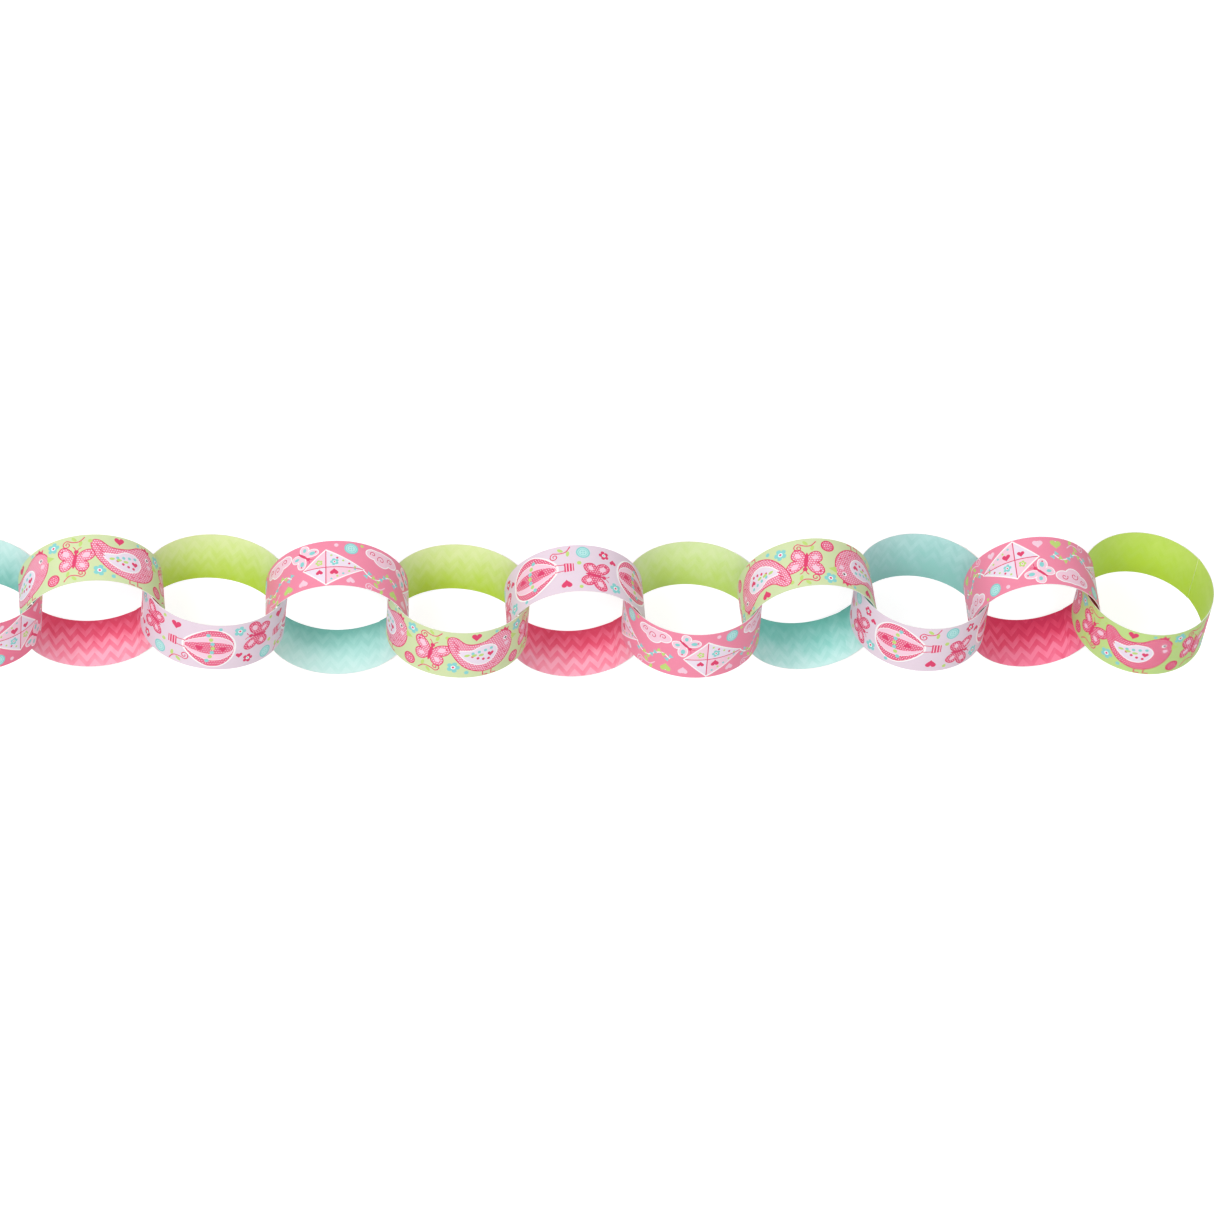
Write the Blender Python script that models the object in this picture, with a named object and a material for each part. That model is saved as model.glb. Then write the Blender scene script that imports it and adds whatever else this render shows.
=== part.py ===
"""Paper chain garland: eleven printed paper strips, each looped through the last and glued to itself.

Metres, +Z up. The chain lies along X on a flat surface at Z = 0. Its links lean to +Y and -Y by
turns, so that each end of a link stands inside the next one. The origin is the middle of the
footprint.
"""

import math
from typing import NamedTuple

import bpy
import numpy as np
from mathutils import Matrix, Vector

# The strip that every link is rolled from
STRIP_LENGTH = 0.2032
STRIP_WIDTH = 0.0254
PAPER_THICKNESS = 0.00025
LAP_LENGTH = 0.010  # the glued end lies this far over the start
LAP_CLIMB = 0.006  # before the lap, the end rises onto the start over this length
LAP_POSITION = 40.0  # degrees round the underside from the link's right end to the lap's middle

# How neighbouring links meet
LINK_CLEARANCE = 0.0003  # between the faces of two links where they hang on each other

# How finely the round shapes are divided
FACET_LENGTH = 0.0024
CLIMB_FACETS = 4
SEAT_TURNS = 1801  # places round half a link at which its gap to the next one is measured
SEAT_ACROSS = 9  # and across its width
SEAT_HALVINGS = 40  # of the range in which the spacing of two links is looked for

ROUGHNESS = 0.55
PAPERS = {
    "hot_pink_paper": (0.80, 0.16, 0.30),
    "lime_paper": (0.62, 0.78, 0.30),
    "lilac_paper": (0.82, 0.68, 0.82),
}


class Link(NamedTuple):
    """One loop of paper and how it lies."""

    paper: str
    lean: float  # degrees from upright to the loop's axis
    turn: float  # degrees by which that lean points away from square across the chain, to +X
    oval: float  # how much longer than round it is along the chain, as a share of the radius
    drift: float  # metres by which its middle is off the chain's line, to +Y


# From the left end to the right. A garland is never quite regular, so each link has its own lie.
LINKS = (
    Link("hot_pink_paper", lean=49.0, turn=3.0, oval=0.015, drift=0.0020),
    Link("lime_paper", lean=52.0, turn=4.0, oval=0.015, drift=0.0026),
    Link("lilac_paper", lean=48.5, turn=4.0, oval=0.020, drift=0.0026),
    Link("hot_pink_paper", lean=50.0, turn=-2.0, oval=0.015, drift=-0.0004),
    Link("lime_paper", lean=50.0, turn=0.5, oval=0.010, drift=-0.0014),
    Link("lilac_paper", lean=52.5, turn=0.0, oval=-0.010, drift=-0.0019),
    Link("hot_pink_paper", lean=48.0, turn=-2.0, oval=-0.005, drift=-0.0008),
    Link("lime_paper", lean=54.0, turn=2.5, oval=-0.035, drift=0.0012),
    Link("lilac_paper", lean=47.5, turn=0.0, oval=-0.025, drift=0.0024),
    Link("hot_pink_paper", lean=55.5, turn=0.0, oval=-0.060, drift=0.0021),
    Link("lime_paper", lean=43.5, turn=1.0, oval=-0.035, drift=0.0020),
)

# The radius of the paper's mid-surface once the strip is rolled and lapped
MEAN_RADIUS = (STRIP_LENGTH - LAP_LENGTH) / (2 * math.pi)


def clear_scene():
    for thing in list(bpy.data.objects):
        bpy.data.objects.remove(thing, do_unlink=True)


def paper_material(name, colour):
    material = bpy.data.materials.new(name)
    material.use_nodes = True
    shader = material.node_tree.nodes["Principled BSDF"]
    shader.inputs["Base Color"].default_value = (*colour, 1.0)
    shader.inputs["Roughness"].default_value = ROUGHNESS
    shader.inputs["Metallic"].default_value = 0.0
    return material


def middle_radius(link, angle):
    """Distance from the link's axis to the middle of its paper, at an angle round from its right end."""
    return MEAN_RADIUS * (1 + link.oval * np.cos(2 * angle))


def lean_side(index):
    """Every other link leans to +Y, the ones between to -Y."""
    return 1 if index % 2 == 0 else -1


def link_frame(link, index):
    """The link's own axes as a matrix's columns: to its right end, round from there, and along the loop."""
    lean, turn = math.radians(link.lean), math.radians(link.turn)
    axis = Vector(
        (
            math.sin(lean) * math.sin(turn),
            lean_side(index) * math.sin(lean) * math.cos(turn),
            math.cos(lean),
        )
    )
    right = (Vector((1, 0, 0)) - axis * axis.x).normalized()
    return Matrix((right, axis.cross(right), axis)).transposed()


def smooth_rise(share):
    return share * share * (3 - 2 * share)


def strip_outlines(link, index):
    """The loop's two edges seen along its axis: (inner points, outer points).

    The start lies against the loop's inside. The strip runs once round, climbs by its own
    thickness and ends a lap's length further on, over the start.
    """
    underside = lean_side(index)
    start = underside * math.radians(LAP_POSITION) - LAP_LENGTH / MEAN_RADIUS / 2
    climb = LAP_CLIMB / MEAN_RADIUS
    lap = LAP_LENGTH / MEAN_RADIUS
    facet = FACET_LENGTH / MEAN_RADIUS
    half = PAPER_THICKNESS / 2

    def spread(first, last, count):
        return [first + (last - first) * i / count for i in range(count)]

    plain = spread(start + lap, start + math.tau - climb, round((math.tau - climb - lap) / facet))
    rising = spread(start - climb, start, CLIMB_FACETS)
    lapped = spread(start, start + lap, round(lap / facet))

    inner, outer = [], []

    def add(outline, angle, offset):
        radius = middle_radius(link, angle) + offset
        outline.append((radius * math.cos(angle), radius * math.sin(angle)))

    for angle in plain:
        add(inner, angle, -half)
        add(outer, angle, half)
    for angle in rising:
        rise = PAPER_THICKNESS * smooth_rise((angle - start + climb) / climb)
        add(inner, angle, rise - half)
        add(outer, angle, rise + half)
    add(inner, start, PAPER_THICKNESS - half)
    for angle in lapped:
        add(inner, angle, -half)
        add(outer, angle, PAPER_THICKNESS + half)
    add(outer, start + lap, PAPER_THICKNESS + half)
    return inner, outer


def outline_corners(link, index):
    """Both rims of the loop's outside, as points about the link's middle in world directions."""
    frame = link_frame(link, index)
    outer = strip_outlines(link, index)[1]
    return np.array(
        [frame @ Vector((x, y, z)) for x, y in outer for z in (-STRIP_WIDTH / 2, STRIP_WIDTH / 2)]
    )


def right_wall(link, index):
    """Points all over the right half of the link's paper, about its middle in world directions."""
    frame = np.array(link_frame(link, index))
    angle, along = np.meshgrid(
        np.linspace(-math.pi / 2, math.pi / 2, SEAT_TURNS),
        np.linspace(-STRIP_WIDTH / 2, STRIP_WIDTH / 2, SEAT_ACROSS),
    )
    radius = middle_radius(link, angle)
    local = np.stack((radius * np.cos(angle), radius * np.sin(angle), along), -1).reshape(-1, 3)
    return local @ frame.T


def gap_inside(points, link, index):
    """How far points, given about a link's middle, stay from its paper while they are in its loop."""
    local = points @ np.array(link_frame(link, index))
    inward = middle_radius(link, np.arctan2(local[:, 1], local[:, 0]))
    inward = inward - np.hypot(local[:, 0], local[:, 1])
    beyond_rim = np.abs(local[:, 2]) - STRIP_WIDTH / 2
    return np.where(beyond_rim > 0, np.hypot(beyond_rim, inward), inward).min()


def link_spacing(index, offset_y, offset_z):
    """How far the next link can be drawn along +X before it hangs on this one."""
    wall = right_wall(LINKS[index], index)
    wanted = PAPER_THICKNESS + LINK_CLEARANCE
    near, far = MEAN_RADIUS, 2 * MEAN_RADIUS
    for _ in range(SEAT_HALVINGS):
        middle = (near + far) / 2
        moved = wall - np.array((middle, offset_y, offset_z))
        if gap_inside(moved, LINKS[index + 1], index + 1) > wanted:
            near = middle
        else:
            far = middle
    return near


def link_places():
    """Each link's middle: on the surface, drawn out to the next, and centred as a whole on the origin."""
    corners = [outline_corners(link, index) for index, link in enumerate(LINKS)]
    places = [Vector((0, LINKS[0].drift, -corners[0][:, 2].min()))]
    for index in range(1, len(LINKS)):
        last = places[-1]
        y, z = LINKS[index].drift, -corners[index][:, 2].min()
        x = last.x + link_spacing(index - 1, y - last.y, z - last.z)
        places.append(Vector((x, y, z)))
    everything = np.concatenate([points + place for points, place in zip(corners, places)])
    middle = (everything.min(0) + everything.max(0)) / 2
    return [Vector((place.x - middle[0], place.y - middle[1], place.z)) for place in places]


def paper_link(name, link, index, place, material, collection):
    """A loop of paper as a flat outline with a hole, as thick along its axis as the strip is wide."""
    curve = bpy.data.curves.new(name, "CURVE")
    curve.dimensions = "2D"
    curve.fill_mode = "BOTH"
    curve.extrude = STRIP_WIDTH / 2
    for outline in strip_outlines(link, index):
        spline = curve.splines.new("POLY")
        spline.points.add(len(outline) - 1)
        for point, (x, y) in zip(spline.points, outline):
            point.co = (x, y, 0, 1)
        spline.use_cyclic_u = True
    curve.materials.append(material)
    thing = bpy.data.objects.new(name, curve)
    thing.rotation_mode = "QUATERNION"
    thing.rotation_quaternion = link_frame(link, index).to_quaternion()
    thing.location = place
    collection.objects.link(thing)
    return thing


def build():
    clear_scene()
    collection = bpy.data.collections.new("paper_chain_garland")
    bpy.context.scene.collection.children.link(collection)
    materials = {name: paper_material(name, colour) for name, colour in PAPERS.items()}
    for index, (link, place) in enumerate(zip(LINKS, link_places())):
        name = f"paper_link_{index + 1:02d}"
        paper_link(name, link, index, place, materials[link.paper], collection)


build()
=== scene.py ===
"""Paper chain garland, finished: printed paper strips in place of the plain ones, and their stage.

Lengths are metres, except on the printed sheets, whose motifs are drawn in millimetres along and
across the strip.
"""

import math
from typing import NamedTuple

import bpy
import numpy as np
from bpy.props import FloatProperty, FloatVectorProperty, IntProperty, PointerProperty
from mathutils import Matrix, Vector
from mathutils.geometry import delaunay_2d_cdt


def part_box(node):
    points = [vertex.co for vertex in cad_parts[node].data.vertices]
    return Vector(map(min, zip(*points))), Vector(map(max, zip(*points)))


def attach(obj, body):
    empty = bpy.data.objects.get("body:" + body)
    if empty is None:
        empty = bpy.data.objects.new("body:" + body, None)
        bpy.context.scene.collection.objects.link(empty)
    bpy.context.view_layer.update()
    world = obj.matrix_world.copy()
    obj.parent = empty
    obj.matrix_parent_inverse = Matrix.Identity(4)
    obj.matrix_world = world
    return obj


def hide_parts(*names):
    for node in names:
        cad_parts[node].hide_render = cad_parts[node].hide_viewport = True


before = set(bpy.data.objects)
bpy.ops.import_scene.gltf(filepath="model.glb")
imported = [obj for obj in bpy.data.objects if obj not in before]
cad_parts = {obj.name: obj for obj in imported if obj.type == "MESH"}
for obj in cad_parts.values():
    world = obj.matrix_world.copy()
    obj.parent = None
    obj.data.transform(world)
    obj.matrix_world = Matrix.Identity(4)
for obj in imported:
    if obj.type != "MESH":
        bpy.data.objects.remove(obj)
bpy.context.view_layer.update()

bl_info = {
    "name": "Paper Chain Garland",
    "version": (1, 0, 0),
    "blender": (4, 5, 0),
    "location": "View3D > Sidebar > Garland",
    "description": "Makes the printed paper strips of a chain garland and a pale stage round them",
    "category": "Add Mesh",
}

BODY = "root"
MM = 0.001


def shown(red, green, blue):
    """A colour as it shows on a screen, from 0 to 255, turned into the light it stands for."""
    def light(value):
        value = value / 255
        return value / 12.92 if value <= 0.04045 else ((value + 0.055) / 1.055) ** 2.4

    return (light(red), light(green), light(blue))


def length_setting(name, description, default):
    return FloatProperty(
        name=name, description=description, default=default, min=0, precision=5, subtype="DISTANCE"
    )


def share_setting(name, description, default):
    return FloatProperty(
        name=name, description=description, default=default, min=0, max=1, subtype="FACTOR"
    )


def angle_setting(name, description, degrees):
    return FloatProperty(
        name=name, description=description, default=math.radians(degrees), subtype="ANGLE"
    )


def power_setting(name, description, default):
    return FloatProperty(name=name, description=description, default=default, min=0, unit="POWER")


def colour_setting(name, description, default):
    return FloatVectorProperty(
        name=name, description=description, default=default, min=0, max=1, subtype="COLOR"
    )


class StripSettings(bpy.types.PropertyGroup):
    """The paper strip that every link is rolled from."""

    length: length_setting("Length", "The strip from end to end", 0.2032)
    width: length_setting("Width", "The strip from edge to edge", 0.0254)
    thickness: length_setting("Thickness", "Of the paper", 0.00025)
    lap: length_setting("Lap", "How far the glued end lies over the start", 0.010)
    climb: length_setting("Climb", "Over this length the end rises onto the start", 0.006)
    glue: length_setting("Glue", "Between the two layers of the lap", 0.00001)
    lap_position: angle_setting(
        "Lap position", "From the link's right end round to the lap, on the side whose inside shows", 40
    )
    column: length_setting("Column", "Width of the flat faces that make the round shape", 0.0012)
    rows: IntProperty(name="Rows", description="Of faces across the strip", default=6, min=1)


class PaperColours(bpy.types.PropertyGroup):
    """Grounds of the printed outsides, and the paper's core."""

    hot_pink: colour_setting("Hot pink", "Ground of the kite print", shown(244, 143, 170))
    deep_hot_pink: colour_setting("Deep hot pink", "Ground of the first link", shown(242, 126, 156))
    lime: colour_setting("Lime", "Ground of the bird print", shown(213, 227, 176))
    deep_lime: colour_setting("Deep lime", "Ground of the last link", shown(196, 224, 142))
    lilac: colour_setting("Lilac", "Ground of the balloon print", shown(233, 215, 228))
    core: colour_setting("Core", "Cut edges, where the white core shows", shown(248, 246, 242))


class InkColours(bpy.types.PropertyGroup):
    """Inks of the printed motifs."""

    pink: colour_setting("Pink", "Bodies of birds and wings", shown(238, 118, 150))
    rose: colour_setting("Rose", "Gores of balloons", shown(232, 98, 134))
    deep_pink: colour_setting("Deep pink", "Outlines and hearts", shown(226, 72, 114))
    pale_pink: colour_setting("Pale pink", "Kites and inner wings", shown(248, 208, 224))
    aqua: colour_setting("Aqua", "Flowers, buttons and bows", shown(140, 214, 212))
    pale_aqua: colour_setting("Pale aqua", "Middles of buttons", shown(190, 234, 232))
    leaf: colour_setting("Leaf", "Small green accents", shown(194, 222, 124))
    patch: colour_setting("Patch", "Pale lilac patches", shown(240, 226, 240))
    white: colour_setting("White", "Halos round the motifs", shown(253, 250, 251))
    dark: colour_setting("Dark", "Eyes", shown(104, 52, 76))


class ChevronSettings(bpy.types.PropertyGroup):
    """The zigzag rows printed on the insides."""

    wave: length_setting("Wave", "From one point of a zigzag to the next", 0.0071)
    pitch: length_setting("Pitch", "Height of a pale row and a deep one together", 0.0068)
    swing: length_setting("Swing", "Height of a zigzag from its low to its high points", 0.0051)
    pale: share_setting("Pale share", "Part of the pitch that the pale rows take", 0.5)


class StageSettings(bpy.types.PropertyGroup):
    """The camera, the floor and the light."""

    distance: length_setting("Camera distance", "From the floor at the picture's middle", 1.806)
    aim: FloatVectorProperty(
        name="Aim",
        description="Floor point at the picture's middle",
        default=(0.0228, -0.0014),
        size=2,
        subtype="XYZ_LENGTH",
    )
    swing: angle_setting("Swing", "How far the camera stands to the left of straight above", 6.5)
    picture_width: length_setting("Picture width", "Of floor across the picture's middle", 0.5457)
    floor_size: length_setting("Floor size", "Side of the floor", 6.0)
    floor: colour_setting("Floor", "Colour of the floor", (0.5, 0.5, 0.5))
    glow: share_setting("Floor glow", "How much whiter the floor is to the eye", 0.74)
    sky: share_setting("Sky", "Strength of the light from all round", 0.44)
    key: power_setting("Key lamp", "Power of the lamp at the left", 16.0)
    fill: power_setting("Fill lamp", "Power of the lamp by the camera", 15.0)


SETTINGS = {
    "garland_strip": StripSettings,
    "garland_papers": PaperColours,
    "garland_inks": InkColours,
    "garland_chevrons": ChevronSettings,
    "garland_stage": StageSettings,
}


class Link(NamedTuple):
    """One loop of paper: its two prints, how it lies, as its plain link does, and how it was cut."""

    outside: str
    inside: str
    lean: float  # degrees from upright to the loop's axis
    turn: float  # degrees by which that lean points away from square across the chain
    oval: float  # how much longer than round it is along the chain
    cut: float  # millimetres along the printed sheet at which this strip was cut
    flipped: bool  # whether the print was glued upside down
    rich: bool = False  # whether it comes from a sheet printed with deeper inks


LINKS = (
    Link("hot_pink", "teal", 49.0, 3.0, 0.015, 11.0, False, rich=True),
    Link("lime", "rose", 52.0, 4.0, 0.015, 2.0, True),
    Link("lilac", "fresh_lime", 48.5, 4.0, 0.020, 37.0, False),
    Link("hot_pink", "teal", 50.0, -2.0, 0.015, 33.0, False),
    Link("lime", "fresh_lime", 50.0, 0.5, 0.010, 5.0, False),
    Link("lilac", "rose", 52.5, 0.0, -0.010, 15.0, False),
    Link("hot_pink", "soft_lime", 48.0, -2.0, -0.005, 8.0, True),
    Link("lime", "deep_teal", 54.0, 2.5, -0.035, 40.0, False),
    Link("lilac", "even_teal", 47.5, 0.0, -0.025, 28.0, True),
    Link("hot_pink", "deep_rose", 55.5, 0.0, -0.060, 2.0, True),
    Link("lime", "deep_lime", 43.5, 1.0, -0.035, 22.0, False, rich=True),
)


# Drawing on the flat sheet, in millimetres


def oval(x, y, across, high, turn=0.0, points=24):
    """An ellipse's outline from its two radii."""
    lean = math.radians(turn)
    outline = []
    for i in range(points):
        angle = math.tau * i / points
        dx, dy = across * math.cos(angle), high * math.sin(angle)
        along = x + dx * math.cos(lean) - dy * math.sin(lean)
        outline.append((along, y + dx * math.sin(lean) + dy * math.cos(lean)))
    return outline


def dot(x, y, radius, points=10):
    return oval(x, y, radius, radius, 0.0, points)


def specks(*given):
    """Small dots on the sheet, each from (ink, x, y, radius)."""
    return [(ink, dot(x, y, radius)) for ink, x, y, radius in given]


def between(before, here, after, beyond, share):
    """A number on the smooth curve that runs through all four, in its part from here to after."""
    return 0.5 * (
        2 * here
        + (after - before) * share
        + (2 * before - 5 * here + 4 * after - beyond) * share**2
        + (3 * here - before - 3 * after + beyond) * share**3
    )


def smooth_closed(points, steps=4):
    """The outline of a rounded shape through a few given points."""
    count = len(points)
    outline = []
    for i in range(count):
        four = [points[(i + k) % count] for k in (-1, 0, 1, 2)]
        for step in range(steps):
            outline.append(tuple(between(*axis, step / steps) for axis in zip(*four)))
    return outline


def smooth_open(points, steps=4):
    """A smooth line through a few given points."""
    held = [points[0], *points, points[-1]]
    line = []
    for i in range(len(points) - 1):
        for step in range(steps):
            line.append(tuple(between(*axis, step / steps) for axis in zip(*held[i : i + 4])))
    return line + [points[-1]]


def sideways(points, closed):
    """At each point, the direction square to the line there, to its right."""
    count = len(points)
    result = []
    for i in range(count):
        a = points[i - 1] if closed or i else points[0]
        b = points[(i + 1) % count] if closed or i < count - 1 else points[-1]
        dx, dy = b[0] - a[0], b[1] - a[1]
        size = math.hypot(dx, dy) or 1.0
        result.append((dy / size, -dx / size))
    return result


def stroke(line, width):
    """A line as an outline of that width."""
    sides = list(zip(line, sideways(line, closed=False)))
    right = [(x + dx * width / 2, y + dy * width / 2) for (x, y), (dx, dy) in sides]
    left = [(x - dx * width / 2, y - dy * width / 2) for (x, y), (dx, dy) in sides]
    return right + left[::-1]


def signed_area(points):
    return sum(a[0] * b[1] - b[0] * a[1] for a, b in zip(points, points[1:] + points[:1])) / 2


def grown(points, by):
    """The outline moved outwards by a margin."""
    if signed_area(points) < 0:
        points = points[::-1]
    return [(x + dx * by, y + dy * by) for (x, y), (dx, dy) in zip(points, sideways(points, True))]


def spiral(x, y, radius, turns, start, side):
    """A line from just beside the middle outwards."""
    points_a_turn = 10
    count = round(points_a_turn * turns)
    line = []
    for i in range(2, count + 1):
        angle = math.radians(start) + side * math.tau * turns * i / count
        reach = radius * i / count
        line.append((x + reach * math.cos(angle), y + reach * math.sin(angle)))
    return line


def placed(shapes, x, y, turn=0.0, size=1.0):
    """The shapes of a motif, turned, sized and moved to a place on the sheet."""
    along = size * math.cos(math.radians(turn))
    across = size * math.sin(math.radians(turn))
    return [
        (ink, [(x + px * along - py * across, y + px * across + py * along) for px, py in points])
        for ink, points in shapes
    ]


# Motifs, with their line widths and margins in millimetres

HAIRLINE = 0.3
FINE_LINE = 0.4
PLAIN_LINE = 0.45
STEM_LINE = 0.5
BOLD_LINE = 0.6
THIN_HALO = 0.4
HALO = 0.5
BROAD_HALO = 0.9


def flower(x, y, radius, petals, middle):
    """Five round petals about a white ring."""
    points, notch = 30, 0.62
    outline = []
    for i in range(points):
        angle = math.tau * i / points
        reach = radius * (notch + (1 - notch) * abs(math.cos(2.5 * angle)) ** 0.6)
        outline.append((x + reach * math.cos(angle), y + reach * math.sin(angle)))
    return [
        (petals, outline),
        ("white", dot(x, y, radius * 0.36)),
        (middle, dot(x, y, radius * 0.2, 8)),
    ]


def heart(x, y, size, ink, halo=None):
    """A heart as wide as the size, point down, on the common heart curve."""
    points, curve_width = 26, 32
    outline = []
    for i in range(points):
        angle = math.tau * i / points
        across = 16 * math.sin(angle) ** 3
        up = (
            13 * math.cos(angle)
            - 5 * math.cos(2 * angle)
            - 2 * math.cos(3 * angle)
            - math.cos(4 * angle)
        )
        outline.append((x + across * size / curve_width, y + up * size / curve_width))
    return ([(halo, grown(outline, THIN_HALO))] if halo else []) + [(ink, outline)]


def button(x, y, radius, ink, face):
    """A sewn button: a disc with a paler face, a ring and four holes."""
    rings = ((ink, 1.0), (face, 0.78), (ink, 0.66), (face, 0.56))
    to_hole, hole = radius * 0.25, radius * 0.11
    shapes = [(colour, dot(x, y, radius * share, 24)) for colour, share in rings]
    for i in range(4):
        angle = math.radians(45 + 90 * i)
        shapes.append((ink, dot(x + to_hole * math.cos(angle), y + to_hole * math.sin(angle), hole, 8)))
    return shapes


BIRD_BODY = (
    (13.4, 2.4), (12.6, 7.0), (9.0, 9.8), (4.6, 9.4), (0.4, 7.0), (-4.6, 5.8), (-9.4, 6.4),
    (-13.6, 9.6), (-16.8, 9.0), (-16.4, 4.2), (-13.4, -1.6), (-8.4, -6.8), (-1.0, -9.4),
    (6.8, -8.0), (11.8, -3.4),
)
BIRD_WING = (
    (5.4, 0.2), (3.4, 4.0), (-1.6, 4.6), (-6.4, 2.4), (-12.0, 2.0), (-8.6, -2.6), (-3.0, -5.4),
    (2.6, -4.2),
)
BIRD_TUFT = (
    (7.6, 9.0), (6.6, 11.4), (8.2, 10.8), (9.0, 12.2), (10.0, 10.6), (11.4, 11.2), (10.8, 8.8),
)


def bird():
    """A plump bird with a spotted wing."""
    body, wing = smooth_closed(BIRD_BODY), smooth_closed(BIRD_WING)
    shapes = [("deep_pink", list(BIRD_TUFT))]
    for x in (-0.6, 3.4):
        leg = [(x, -8.8), (x - 0.2, -11.8), (x + 2.2, -11.9)]
        shapes.append(("deep_pink", stroke(leg, BOLD_LINE)))
    shapes += [
        ("deep_pink", grown(body, HALO)),
        ("pink", body),
        ("leaf", [(13.2, 6.2), (17.0, 3.6), (13.4, 2.4)]),
        ("white", dot(9.6, 5.6, 1.15)),
        ("dark", dot(9.8, 5.6, 0.6, 8)),
        ("pale_pink", dot(10.6, 2.2, 1.2)),
        ("white", grown(wing, HALO)),
        ("patch", wing),
    ]
    for i in range(3):
        quill = [(-14.8 + 0.6 * i, 7.6 - 2.3 * i), (-12.4 + 0.4 * i, 5.0 - 1.9 * i)]
        shapes.append(("deep_pink", stroke(quill, PLAIN_LINE)))
    for i in range(4):
        shapes.append(("aqua", dot(2.6 - 2.8 * i, 2.6 - 0.55 * i, 0.8)))
        shapes.append(("deep_pink", dot(1.6 - 2.5 * i, -3.0 + 0.25 * i * i, 0.7)))
    for i in range(3):
        shapes.append(("leaf", oval(-2.0 - 3.2 * i, -0.4 + 0.2 * i, 1.3, 0.7, 10, 12)))
    for x, y in ((8.0, -0.6), (10.2, -2.4), (7.4, -4.0), (4.4, -6.4), (1.0, -7.6)):
        feather = [(x - 1.0, y + 0.5), (x, y - 0.5), (x + 1.0, y + 0.5)]
        shapes.append(("deep_pink", stroke(feather, FINE_LINE)))
    return shapes + heart(2.4, -0.4, 3.0, "deep_pink")


WING_UPPER = ((0.5, 0.4), (2.6, 4.8), (6.4, 6.6), (8.0, 4.2), (5.8, 0.9))
WING_LOWER = ((0.5, -0.2), (4.8, 0.0), (6.4, -2.4), (4.8, -5.4), (1.8, -4.2))


def butterfly(wings, spots, line, halo):
    """Four wings on a slim body, with two curled feelers."""
    shapes = []
    for side in (1, -1):
        sided = [[(x * side, y) for x, y in wing] for wing in (WING_UPPER, WING_LOWER)]
        outlines = [smooth_closed(wing) for wing in sided]
        shapes += [(halo, grown(outline, HALO)) for outline in outlines]
        shapes += [(wings, outline) for outline in outlines]
        shapes.append((spots, oval(4.6 * side, 3.5, 1.9, 1.3, 40 * side, 14)))
        shapes.append((spots, oval(3.7 * side, -2.3, 1.5, 1.1, -40 * side, 12)))
        shapes.append((line, dot(6.5 * side, 4.7, 0.55, 8)))
        feeler = smooth_open([(0, 3.6), (0.8 * side, 6.2), (2.2 * side, 7.4)], 3)
        feeler += spiral(2.4 * side, 8.2, 1.1, 1.1, -90, side)[::-1]
        shapes.append((line, stroke(feeler, FINE_LINE)))
    return shapes + [(line, oval(0, 0, 0.85, 4.4, 0, 16)), (line, dot(0, 4.6, 1.1))]


def cloud(ink, halo, line):
    """A small cloud of three puffs, its base flat."""
    puffs = [oval(-4.2, 0.2, 3.6, 2.6), oval(0.6, 1.2, 4.0, 3.8), oval(5.0, 0.0, 3.2, 2.4)]
    base = [(-5.4, -2.4), (6.0, -2.4), (6.0, 0.0), (-5.4, 0.0)]
    outlines = puffs + [base]
    shapes = [(halo, grown(outline, HALO)) for outline in outlines]
    shapes += [(ink, outline) for outline in outlines]
    for x, y, radius in ((-4.2, 0.0, 1.7), (0.8, 1.4, 2.1), (5.0, -0.2, 1.5)):
        shapes.append((line, stroke(spiral(x, y, radius, 1.3, -80, 1), FINE_LINE)))
    return shapes


def tendril(line, leaves):
    """A curled stem with two leaves."""
    stem = smooth_open([(-5.6, -1.8), (-3.2, 0.4), (-0.4, 0.4), (2.4, -0.9)])
    curled = spiral(2.4, 1.2, 2.1, 1.6, 126, -1)[::-1]
    return [
        (line, stroke(stem[:-1] + curled, STEM_LINE)),
        (leaves, oval(-3.6, 1.7, 1.5, 0.75, 70, 12)),
        (leaves, oval(-0.9, -1.1, 1.5, 0.75, -50, 12)),
    ]


KITE_TOP = (9.8, 0.0)
KITE_POINT = (-16.4, 0.0)  # where its tail starts
KITE_HALF = 9.4  # half of its width
KITE = ((0.0, KITE_HALF), KITE_TOP, (0.0, -KITE_HALF), KITE_POINT)
KITE_TAIL = (KITE_POINT, (-19.6, 3.0), (-23.6, 3.6), (-27.2, 0.6), (-31.0, -1.0), (-34.4, 1.4))


def bow(x, y, turn, ink):
    """A small bow on a kite's tail."""
    wings = [(ink, [(0, 0), (2.0, 1.3), (2.0, -1.3)]), (ink, [(0, 0), (-2.0, -1.3), (-2.0, 1.3)])]
    return placed(wings, x, y, turn)


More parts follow.
